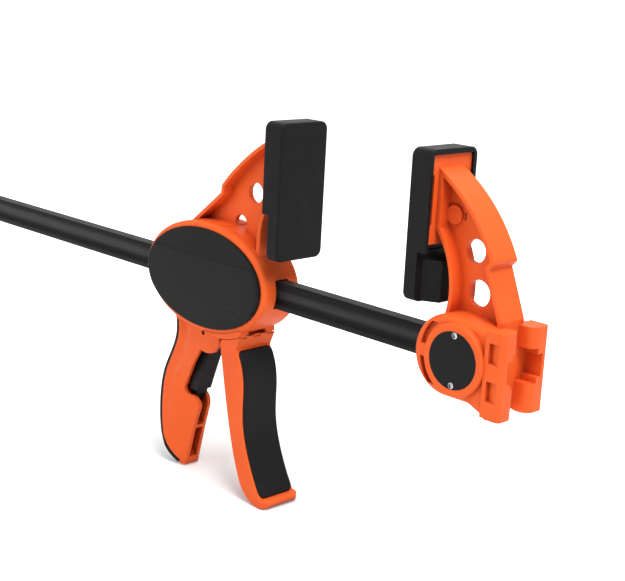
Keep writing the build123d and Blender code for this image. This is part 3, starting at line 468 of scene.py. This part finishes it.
@dataclass(frozen=True)
class BlackedBar:
    """Blackened rolled steel: a painted sheen band along its middle, streaks, scratches and painted glints
    along its edges.
    """

    name: str
    colour: Colour
    # Colour of the sheen painted along the middle of the bar.
    rubbed_and_sheen: Colour
    # Colour of the scratches and of the glints painted along edges.
    bare_and_glint: Colour
    roughness: float
    shine: float
    low: float
    high: float
    # Painted sheen across the bar's height: a highlight along the middle, paler strips near the lower and
    # upper faces.
    band_stops: Stops = (
        (0.0, 0.30), (0.12, 0.22), (0.24, 0.02), (0.36, 0.10), (0.50, 0.85),
        (0.62, 0.70), (0.78, 0.14), (0.90, 0.02), (1.0, 0.10),
    )
    band_floor: float = 0.55
    band_streaks: float = 0.9
    streak_size: float = 0.9 * MM
    streak_stretch: Triple = (0.04, 1.0, 1.0)
    streak_roughness: float = 0.35
    scratch_size: float = 0.28 * MM
    scratch_stretch: Triple = (0.012, 1.0, 1.0)
    scratch_stops: Stops = ((0.6, 0.0), (0.78, 1.0))
    scratch_share: float = 0.12
    scratch_height: float = 0.4
    cloud_size: float = 14.0 * MM
    cloud_roughness: float = 0.15
    edge_radius: float = 0.4 * MM
    edge_gain: float = 3.0
    edge_stops: Stops = ((0.3, 0.1), (0.65, 1.0))
    edge_highlight_share: float = 0.5
    mark_depth: float = 0.01 * MM

    def build(self) -> bpy.types.Material:
        """Make the material.

        Returns:
            The material.
        """
        graph = Graph(bpy.data.materials.new(self.name))
        place = graph.place()
        soft = graph.soft_normal(self.edge_radius)
        drawn = graph.stretched(place, self.streak_stretch)
        streaks = graph.noise(drawn, self.streak_size, detail=3.0, rough=0.6)
        drawn = graph.stretched(place, self.scratch_stretch)
        scratches = graph.noise(drawn, self.scratch_size, detail=1.0)
        cloud = graph.noise(place, self.cloud_size, detail=3.0)
        scratched = graph.ramp(scratches, self.scratch_stops) * self.scratch_share
        edges = graph.edges(soft, self.edge_gain)
        # Painted highlight: glints along sharp edges, joined below with the real scratches.
        glints = edges * graph.ramp(streaks, self.edge_stops) * self.edge_highlight_share
        wear_and_glints = graph.math("MINIMUM", scratched + glints, 1.0)
        # Painted sheen: a highlight band set by height alone, broken by the streaks.
        band = graph.ramp(self._height(graph, place), self.band_stops)
        rubbed_and_sheen = band * (self.band_floor + streaks * self.band_streaks)
        colour = graph.mixed(rubbed_and_sheen, self.colour, self.rubbed_and_sheen)
        colour = graph.mixed(wear_and_glints, colour, self.bare_and_glint)
        roughness = self.roughness + graph.swing(streaks, self.streak_roughness)
        return graph.shade({
            "Base Color": colour,
            "Specular IOR Level": self.shine,
            "Roughness": roughness + graph.swing(cloud, self.cloud_roughness),
            "Normal": graph.bump(streaks + scratches * self.scratch_height, self.mark_depth, soft),
        })

    def _height(self, graph: Graph, place: Value) -> Value:
        """Return the height on the bar.

        Args:
            graph: the material's graph.
            place: the Object coordinates.

        Returns:
            The height, from 0 at its lower face to 1 at its upper face.
        """
        return (graph.part(place, "Z") - self.low) * (1.0 / (self.high - self.low))


@dataclass(frozen=True)
class PlatedSteel:
    """Bright plated steel: fine turned or drawn marks, a little cloudiness, painted shade in its recesses.
    """

    name: str
    colour: Colour
    dull: Colour
    # Colour of the shade painted into recesses.
    recess_shade: Colour
    roughness: float
    cloud_size: float = 4.0 * MM
    cloud_stops: Stops = ((0.35, 0.0), (0.75, 1.0))
    cloud_roughness: float = 0.25
    # These two set the shade painted into recesses.
    recess_shade_reach: float = 0.9 * MM
    recess_shade_stops: Stops = ((0.2, 0.0), (0.5, 1.0))
    edge_radius: float = 0.2 * MM
    mark_size: float = 0.25 * MM
    mark_stretch: Triple = (1.0, 0.1, 1.0)
    mark_depth: float = 0.006 * MM

    def build(self) -> bpy.types.Material:
        """Make the material.

        Returns:
            The material.
        """
        graph = Graph(bpy.data.materials.new(self.name))
        place = graph.place()
        soft = graph.soft_normal(self.edge_radius)
        cloud = graph.noise(place, self.cloud_size, detail=4.0, rough=0.6)
        marks = graph.noise(graph.stretched(place, self.mark_stretch), self.mark_size)
        # Painted shade: darker colour in recesses, such as the screws' cross recesses.
        recess = graph.ramp(graph.painted_shade_mask(self.recess_shade_reach), self.recess_shade_stops)
        colour = graph.mixed(graph.ramp(cloud, self.cloud_stops), self.colour, self.dull)
        return graph.shade({
            "Base Color": graph.mixed(recess, colour, self.recess_shade),
            "Metallic": 1.0,
            "Roughness": self.roughness + graph.swing(cloud, self.cloud_roughness),
            "Normal": graph.bump(marks, self.mark_depth, soft),
        })


@dataclass(frozen=True)
class StudioFloor:
    """Pale floor that shows white to the camera, less so near the clamp, where its shadow lies."""

    name: str = "floor"
    colour: Colour = (0.86, 0.86, 0.86, 1.0)
    mottle: Colour = (0.9, 0.9, 0.9, 1.0)
    mottle_size: float = 40.0 * MM
    mottle_stops: Stops = ((0.3, 0.0), (0.7, 1.0))
    mottle_share: float = 0.04
    near: float = 0.16
    near_glow: float = 0.10
    far: float = 0.40
    far_glow: float = 1.0

    def build(self) -> bpy.types.Material:
        """Make the material.

        Returns:
            The material.
        """
        graph = Graph(bpy.data.materials.new(self.name))
        mottle = graph.ramp(graph.noise(graph.place(), self.mottle_size), self.mottle_stops)
        pale = graph.mixed(mottle * self.mottle_share, self.colour, self.mottle)
        base = graph.add("ShaderNodeBsdfDiffuse", None, {"Color": pale})
        strength = graph.seen() * self._glow(graph)
        glow = graph.add("ShaderNodeEmission", None, {"Color": WHITE, "Strength": strength})
        both = graph.add("ShaderNodeAddShader", None, {0: graph.value(base), 1: graph.value(glow)})
        graph.add("ShaderNodeOutputMaterial", None, {"Surface": graph.value(both)})
        return graph.owner

    def _glow(self, graph: Graph) -> Value:
        """Return the floor's own light, which grows with the distance from the clamp.

        Args:
            graph: the material's graph.

        Returns:
            The strength.
        """
        length = graph.add("ShaderNodeVectorMath", {"operation": "LENGTH"}, {0: graph.place()})
        share = (graph.value(length, "Value") - self.near) * (1.0 / (self.far - self.near))
        share = graph.math("MINIMUM", graph.math("MAXIMUM", share, 0.0), 1.0)
        return self.near_glow + share * (self.far_glow - self.near_glow)


@dataclass
class Wardrobe:
    """The clamp's finishes, one to a slot."""

    made: dict[Slot, bpy.types.Material] = field(default_factory=dict)

    def build(self) -> None:
        """Make every finish."""
        for slot, finish in self._finishes().items():
            self.made[slot] = finish.build()
            LOG.info("finish %s", finish.name)

    def _finishes(self) -> dict[Slot, Any]:
        """Choose the finishes.

        Returns:
            The finish of every slot.
        """
        bar_low, bar_high = (float(corner[2]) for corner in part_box("bar"))
        # The corner and recess shades below are painted shade; the edge, glint and sheen colours are
        # painted highlights.
        return {
            Slot.ORANGE: MouldedPlastic(
                name="orange_moulding",
                colour=(0.83, 0.120, 0.021, 1.0), flow=(0.72, 0.090, 0.015, 1.0),
                corner=(0.40, 0.042, 0.010, 1.0), edge_highlight=(1.0, 0.22, 0.06, 1.0),
                roughness=0.44, shine=0.14,
                grain_size=0.55 * MM, grain_depth=0.012 * MM, seam_height=3.0,
            ),
            Slot.BLACK: MouldedPlastic(
                name="black_moulding",
                colour=(0.0125, 0.0125, 0.013, 1.0), flow=(0.009, 0.009, 0.0095, 1.0),
                corner=(0.004, 0.004, 0.0045, 1.0), edge_highlight=(0.045, 0.045, 0.048, 1.0),
                roughness=0.42, shine=0.06,
                grain_size=0.4 * MM, grain_depth=0.02 * MM, seam_height=0.0,
            ),
            Slot.PAD: PadRubber(
                name="pad_rubber",
                colour=(0.0095, 0.0095, 0.010, 1.0), rubbed_and_sheen=(0.016, 0.016, 0.0165, 1.0),
                edge_highlight=(0.05, 0.05, 0.052, 1.0),
                roughness=0.42, shine=0.06,
            ),
            Slot.BAR: BlackedBar(
                name="blackened_bar",
                colour=(0.0045, 0.0045, 0.0048, 1.0), rubbed_and_sheen=(0.045, 0.045, 0.047, 1.0),
                bare_and_glint=(0.09, 0.09, 0.095, 1.0),
                roughness=0.4, shine=0.06, low=bar_low, high=bar_high,
            ),
            Slot.BRIGHT: PlatedSteel(
                name="plated_steel",
                colour=(0.50, 0.50, 0.52, 1.0), dull=(0.33, 0.33, 0.34, 1.0),
                recess_shade=(0.012, 0.012, 0.012, 1.0),
                roughness=0.3,
            ),
        }

    def dress(self, item: bpy.types.Object, slot: Slot) -> None:
        """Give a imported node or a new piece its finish.

        Args:
            item: the node's or the piece's object.
            slot: the finish.
        """
        item.data.materials.clear()
        item.data.materials.append(self.made[slot])


# ---- sub-assemblies -------------------------------------------------------------------------
@dataclass
class PackedPieces:
    """A body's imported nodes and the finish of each."""

    body: Body
    slots: dict[str, Slot]

    def dress(self, nodes: dict[str, bpy.types.Object], wardrobe: Wardrobe) -> None:
        """Dress every node.

        Args:
            nodes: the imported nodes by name.
            wardrobe: the finishes.
        """
        for name, slot in self.slots.items():
            wardrobe.dress(nodes[name], slot)
            LOG.info("%s: %s", self.body.value, name)


PACKED_PIECES = (
    PackedPieces(Body.HEAD, {
        "head_body": Slot.ORANGE,
        "cover_near": Slot.BLACK,
        "cover_far": Slot.BLACK,
        "handle_strip": Slot.BLACK,
        "head_pad": Slot.PAD,
        "lever_pivot_pin": Slot.BRIGHT,
        "release_pin": Slot.BRIGHT,
        "drive_spring": Slot.BRIGHT,
        "brake_spring": Slot.BRIGHT,
    }),
    PackedPieces(Body.LEVER, {"squeeze_lever": Slot.ORANGE, "lever_grip": Slot.BLACK}),
    PackedPieces(Body.DRIVE, {"drive_plate_front": Slot.BRIGHT, "drive_plate_rear": Slot.BRIGHT}),
    PackedPieces(Body.RELEASE, {"release_trigger": Slot.BLACK}),
    PackedPieces(Body.BRAKE, {"brake_plate": Slot.BRIGHT}),
    PackedPieces(Body.JAW, {
        "bar": Slot.BAR,
        "bar_stop_pin": Slot.BRIGHT,
        "fixed_jaw": Slot.ORANGE,
        "jaw_pad": Slot.PAD,
        "jaw_pin": Slot.BRIGHT,
        "disc_near": Slot.BLACK,
        "disc_far": Slot.BLACK,
        "disc_screws": Slot.BRIGHT,
    }),
)


@dataclass
class CoilSpring:
    """A coil spring round or beside the bar, made from its solid with its corners joined."""

    solid: str
    joint: str
    travel: float
    weld: float = 0.001 * MM

    def build(self, nodes: dict[str, bpy.types.Object], wardrobe: Wardrobe) -> bpy.types.Object:
        """Make the spring in place of the solid that keeps its length.

        Args:
            nodes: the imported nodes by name.
            wardrobe: the finishes.

        Returns:
            The spring.
        """
        name = f"{self.solid}_coil"
        piece = bpy.data.objects.new(name, self._mesh(nodes[self.solid].data, name))
        bpy.context.collection.objects.link(piece)
        wardrobe.dress(piece, Slot.BRIGHT)
        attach(piece, Body.HEAD.value)
        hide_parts(self.solid)
        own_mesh(piece)
        LOG.info("%s: %s", Body.HEAD.value, name)
        return piece

    def _mesh(self, loose: bpy.types.Mesh, name: str) -> bpy.types.Mesh:
        """Return a copy of the solid's loose triangles, joined at their corners.

        Args:
            loose: the solid's mesh.
            name: the copy's name.

        Returns:
            The copy.
        """
        mesh = loose.copy()
        mesh.name = name
        shape = bmesh.new()
        shape.from_mesh(mesh)
        bmesh.ops.remove_doubles(shape, verts=shape.verts, dist=self.weld)
        shape.to_mesh(mesh)
        shape.free()
        return mesh


class GeometryTree:
    """A Geometry Nodes tree with named sizes, and short ways to add its nodes."""

    def __init__(self, name: str, sizes: Sequence[str]) -> None:
        """Start a tree that takes points, sizes and a finish.

        Args:
            name: the tree's name.
            sizes: the names of its sizes.
        """
        self.tree = bpy.data.node_groups.new(name, "GeometryNodeTree")
        inputs = {"Geometry": "NodeSocketGeometry"}
        inputs.update({size: "NodeSocketFloat" for size in sizes})
        inputs["Finish"] = "NodeSocketMaterial"
        for title, kind in inputs.items():
            self.tree.interface.new_socket(title, in_out="INPUT", socket_type=kind)
        self.tree.interface.new_socket("Geometry", in_out="OUTPUT", socket_type="NodeSocketGeometry")
        self.given = self.tree.nodes.new("NodeGroupInput").outputs

    def add(self, kind: str, settings: dict[str, Any], sockets: Sockets) -> bpy.types.NodeOutputs:
        """Add a node with its settings and its inputs.

        Args:
            kind: the node's type.
            settings: its properties.
            sockets: values or output sockets, by input name or index.

        Returns:
            The node's outputs.
        """
        made = self.tree.nodes.new(kind)
        for key, setting in settings.items():
            setattr(made, key, setting)
        for key, value in sockets.items():
            if isinstance(value, bpy.types.NodeSocket):
                self.tree.links.new(value, made.inputs[key])
            else:
                made.inputs[key].default_value = value
        return made.outputs

    def number(self, operation: str, first: Any, second: Any = 0.0) -> bpy.types.NodeSocket:
        """Work out a number.

        Args:
            operation: the Math node's operation.
            first: its first input.
            second: its second input.

        Returns:
            The result.
        """
        return self.add("ShaderNodeMath", {"operation": operation}, {0: first, 1: second})[0]

    def vector(self, **parts: Any) -> bpy.types.NodeSocket:
        """Return a vector of the named coordinates, with 0 for the others."""
        return self.add("ShaderNodeCombineXYZ", {}, parts)[0]

    def moved(self, mesh: bpy.types.NodeSocket, offset: bpy.types.NodeSocket) -> bpy.types.NodeSocket:
        """Return the mesh moved by a vector."""
        return self.add("GeometryNodeTransform", {}, {0: mesh, "Translation": offset})[0]

    def cylinder(self, radius: Any, depth: Any, sides: int, rings: int) -> bpy.types.NodeSocket:
        """Return a closed upright cylinder whose top is at height 0.

        Args:
            radius: its radius.
            depth: its length, downwards.
            sides: its number of sides.
            rings: rings in its ends.

        Returns:
            The mesh.
        """
        fill = "NGON" if rings == 1 else "TRIANGLE_FAN"
        made = self.add("GeometryNodeMeshCylinder", {"fill_type": fill}, {
            "Vertices": sides,
            "Side Segments": 1,
            "Fill Segments": rings,
            "Radius": radius,
            "Depth": depth,
        })
        return self.moved(made["Mesh"], self.vector(Z=self.number("MULTIPLY", depth, -0.5)))

    def joined(self, *meshes: bpy.types.NodeSocket) -> bpy.types.NodeSocket:
        """Join meshes.

        Args:
            meshes: the meshes.

        Returns:
            The meshes as one.
        """
        join = self.tree.nodes.new("GeometryNodeJoinGeometry")
        for mesh in meshes:
            self.tree.links.new(mesh, join.inputs[0])
        return join.outputs[0]

    def end(self, instances: bpy.types.NodeSocket) -> None:
        """Make the instances real, give them the finish and end the tree.

        Args:
            instances: the instances.
        """
        real = self.add("GeometryNodeRealizeInstances", {}, {0: instances})[0]
        dressed = self.add("GeometryNodeSetMaterial", {}, {0: real, "Material": self.given["Finish"]})[0]
        self.tree.links.new(dressed, self.tree.nodes.new("NodeGroupOutput").inputs[0])


@dataclass
class DiscScrews:
    """The pan-head screws of the two discs, one shape set on every place by Geometry Nodes."""

    name: str = "disc_screw_heads"
    solid: str = "disc_screws"
    head_radius: float = 1.42 * MM
    head_height: float = 0.9 * MM
    dome: float = 0.42 * MM
    dome_rings: int = 5
    recess_reach: float = 1.0 * MM
    recess_width: float = 0.46 * MM
    recess_depth: float = 0.75 * MM
    shank_radius: float = 0.8 * MM
    shank_length: float = 5.6 * MM
    shank_start_share: float = 0.98
    sides: int = 32
    top_slack: float = 0.05 * MM

    def build(self, wardrobe: Wardrobe) -> bpy.types.Object:
        """Make the screws in place of their plain solids.

        Args:
            wardrobe: the finishes.

        Returns:
            The screws, as one piece.
        """
        mesh = self._mesh(wardrobe.made[Slot.BRIGHT])
        mesh.name = self.name
        piece = bpy.data.objects.new(self.name, mesh)
        bpy.context.collection.objects.link(piece)
        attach(piece, Body.JAW.value)
        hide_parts(self.solid)
        LOG.info("%s: %s", Body.JAW.value, self.name)
        return piece

    def _sizes(self) -> dict[str, float]:
        """List the tree's sizes.

        Returns:
            The sizes by name.
        """
        return {
            "Head radius": self.head_radius,
            "Head height": self.head_height,
            "Dome": self.dome,
            "Recess reach": self.recess_reach,
            "Recess width": self.recess_width,
            "Recess depth": self.recess_depth,
            "Shank radius": self.shank_radius,
            "Shank length": self.shank_length,
        }

    def _mesh(self, finish: bpy.types.Material) -> bpy.types.Mesh:
        """Return the screws' mesh, made by the tree.

        Args:
            finish: the screws' material.

        Returns:
            The mesh.
        """
        source = bpy.data.objects.new("screw_places", self._places())
        bpy.context.collection.objects.link(source)
        modifier = source.modifiers.new("screws", "NODES")
        modifier.node_group = self._tree()
        inputs = {**self._sizes(), "Finish": finish}
        for item in modifier.node_group.interface.items_tree:
            if item.name in inputs:
                modifier[item.identifier] = inputs[item.name]
        bpy.context.view_layer.update()
        view = bpy.context.evaluated_depsgraph_get()
        mesh = bpy.data.meshes.new_from_object(source.evaluated_get(view))
        bpy.data.objects.remove(source)
        return mesh

    def _places(self) -> bpy.types.Mesh:
        """Find the screws' seats on the solids.

        Returns:
            A mesh with one point on each seat.
        """
        low, high = (Vector(corner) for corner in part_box(self.solid))
        middle = (low + high) / 2
        solid_radius = (high.x - low.x) / 2
        lift = (high.z - low.z) / 2 - solid_radius
        points = [(middle.x, side * high.y, middle.z + way * lift) for side in (-1, 1) for way in (-1, 1)]
        mesh = bpy.data.meshes.new("screw_places")
        mesh.from_pydata(points, [], [])
        return mesh

    def _tree(self) -> bpy.types.NodeTree:
        """Make the node tree that sets a screw on each point, its head away from the middle plane.

        Returns:
            The node tree.
        """
        tree = GeometryTree("pan_head_screws", list(self._sizes()))
        spot = tree.add("GeometryNodeInputPosition", {}, {})[0]
        split = tree.add("ShaderNodeSeparateXYZ", {}, {0: spot})
        head = self._recessed(tree, self._domed_head(tree, split))
        shank = tree.cylinder(tree.given["Shank radius"], tree.given["Shank length"], self.sides, rings=1)
        start = tree.number("MULTIPLY", tree.given["Head height"], -self.shank_start_share)
        screw = tree.joined(head, tree.moved(shank, tree.vector(Z=start)))
        outward = tree.vector(Y=tree.number("SIGN", split["Y"]))
        turn = tree.add("FunctionNodeAlignRotationToVector", {"axis": "Z"}, {"Vector": outward})[0]
        tree.end(tree.add("GeometryNodeInstanceOnPoints", {}, {
            "Points": tree.given["Geometry"], "Instance": screw, "Rotation": turn})[0])
        return tree.tree

    def _domed_head(self, tree: GeometryTree, split: bpy.types.NodeOutputs) -> bpy.types.NodeSocket:
        """Return the screw's head with its crowned top.

        Args:
            tree: the tree.
            split: the coordinates of a point, one by one.

        Returns:
            The mesh.
        """
        radius = tree.given["Head radius"]
        head = tree.cylinder(radius, tree.given["Head height"], self.sides, self.dome_rings)
        level = tree.vector(X=split["X"], Y=split["Y"])
        out = tree.add("ShaderNodeVectorMath", {"operation": "LENGTH"}, {0: level})["Value"]
        share = tree.number("DIVIDE", out, radius)
        fall = tree.number("MULTIPLY", share, share)
        swell = tree.number("MULTIPLY", tree.number("SUBTRACT", 1.0, fall), tree.given["Dome"])
        top = tree.add("FunctionNodeCompare", {"operation": "GREATER_THAN"},
                       {0: split["Z"], 1: -self.top_slack})[0]
        return tree.add("GeometryNodeSetPosition", {}, {
            0: head, "Selection": top, "Offset": tree.vector(Z=swell)})[0]

    def _recessed(self, tree: GeometryTree, head: bpy.types.NodeSocket) -> bpy.types.NodeSocket:
        """Return the head with its cross recess, cut by two boxes.

        Args:
            tree: the tree.
            head: the head's mesh.

        Returns:
            The mesh.
        """
        reach, width = tree.given["Recess reach"], tree.given["Recess width"]
        for long_way, cross_way in ((reach, width), (width, reach)):
            size = tree.vector(
                X=tree.number("MULTIPLY", long_way, 2.0),
                Y=tree.number("MULTIPLY", cross_way, 2.0),
                Z=tree.number("MULTIPLY", tree.given["Recess depth"], 2.0),
            )
            cutter = tree.add("GeometryNodeMeshCube", {}, {"Size": size})["Mesh"]
            raised = tree.moved(cutter, tree.vector(Z=tree.given["Dome"]))
            head = tree.add("GeometryNodeMeshBoolean", {"operation": "DIFFERENCE", "solver": "EXACT"},
                            {0: head, 1: raised})[0]
        return head


# ---- studio ---------------------------------------------------------------------------------
@dataclass(frozen=True)
class Lamp:
    """A square soft lamp: its place, side and power in watts."""

    name: str
    place: Triple
    size: float
    power: float

    def build(self, aim: Triple) -> None:
        """Hang the lamp.

        Args:
            aim: the point that it looks at.
        """
        lamp = bpy.data.lights.new(self.name, "AREA")
        lamp.energy = self.power
        lamp.size = self.size
        holder = bpy.data.objects.new(self.name, lamp)
        holder.location = self.place
        way = Vector(aim) - Vector(self.place)
        holder.rotation_euler = way.to_track_quat("-Z", "Y").to_euler()
        bpy.context.collection.objects.link(holder)


@dataclass
class Studio:
    """Floor, light and camera."""

    lens: float = 75.28
    sensor: float = 36.0
    nearest: float = 0.01
    place: Triple = (0.4412, -0.4340, 0.1054)
    right: Triple = (0.6997, 0.7125, 0.0516)
    up: Triple = (-0.2073, 0.1333, 0.9692)
    floor_half: float = 3.0
    ambient: float = 0.36
    aim: Triple = (0.03, 0.0, -0.05)
    lamps: tuple[Lamp, ...] = (
        Lamp("key", (0.50, -0.20, 0.80), 0.5, 10.5),
        Lamp("fill", (-0.30, -0.80, 0.30), 0.8, 2.6),
        Lamp("top", (-0.10, 0.30, 0.90), 0.9, 4.5),
    )

    def build(self, low: float) -> None:
        """Make the studio.

        Args:
            low: the height that the clamp stands at.
        """
        self._camera()
        self._floor(low)
        self._world()
        for lamp in self.lamps:
            lamp.build(self.aim)
        bpy.context.scene.view_settings.view_transform = "Standard"
        LOG.info("studio")

    def _camera(self) -> None:
        """Set the camera up."""
        camera = bpy.data.cameras.new("camera")
        camera.lens = self.lens
        camera.sensor_width = self.sensor
        camera.clip_start = self.nearest
        holder = bpy.data.objects.new("camera", camera)
        right, up = Vector(self.right), Vector(self.up)
        turn = Matrix((right, up, right.cross(up))).transposed().to_4x4()
        turn.translation = Vector(self.place)
        holder.matrix_world = turn
        bpy.context.collection.objects.link(holder)
        bpy.context.scene.camera = holder

    def _floor(self, low: float) -> None:
        """Make the floor.

        Args:
            low: its height.
        """
        half = self.floor_half
        corners = [(-half, -half, low), (half, -half, low), (half, half, low), (-half, half, low)]
        mesh = bpy.data.meshes.new("floor")
        mesh.from_pydata(corners, [], [(0, 1, 2, 3)])
        mesh.materials.append(StudioFloor().build())
        floor = bpy.data.objects.new("floor", mesh)
        bpy.context.collection.objects.link(floor)
        floor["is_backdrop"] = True

    def _world(self) -> None:
        """Light the scene evenly, with white behind the clamp."""
        world = bpy.data.worlds.new("studio")
        bpy.context.scene.world = world
        graph = Graph(world)
        light = graph.add("ShaderNodeBackground", None, {"Color": WHITE, "Strength": self.ambient})
        white = graph.add("ShaderNodeBackground", None, {"Color": WHITE, "Strength": 1.0})
        pick = graph.add("ShaderNodeMixShader", None, {
            0: graph.seen(), 1: graph.value(light), 2: graph.value(white)})
        graph.add("ShaderNodeOutputWorld", None, {"Surface": graph.value(pick)})


def main() -> None:
    """Build the clamp's looks."""
    logging.basicConfig(level=logging.INFO, format="%(name)s: %(message)s")
    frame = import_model()
    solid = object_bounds()
    nodes = frame["nodes"]
    wardrobe = Wardrobe()
    wardrobe.build()
    for pieces in PACKED_PIECES:
        pieces.dress(nodes, wardrobe)
    CoilSpring("drive_spring", "drive_slide", travel=6.1 * MM).build(nodes, wardrobe)
    CoilSpring("brake_spring", "brake_hinge", travel=2.6 * MM).build(nodes, wardrobe)
    DiscScrews().build(wardrobe)
    lowest_corner = solid[0]
    Studio().build(float(lowest_corner[2]))


if __name__ == "__main__":
    main()
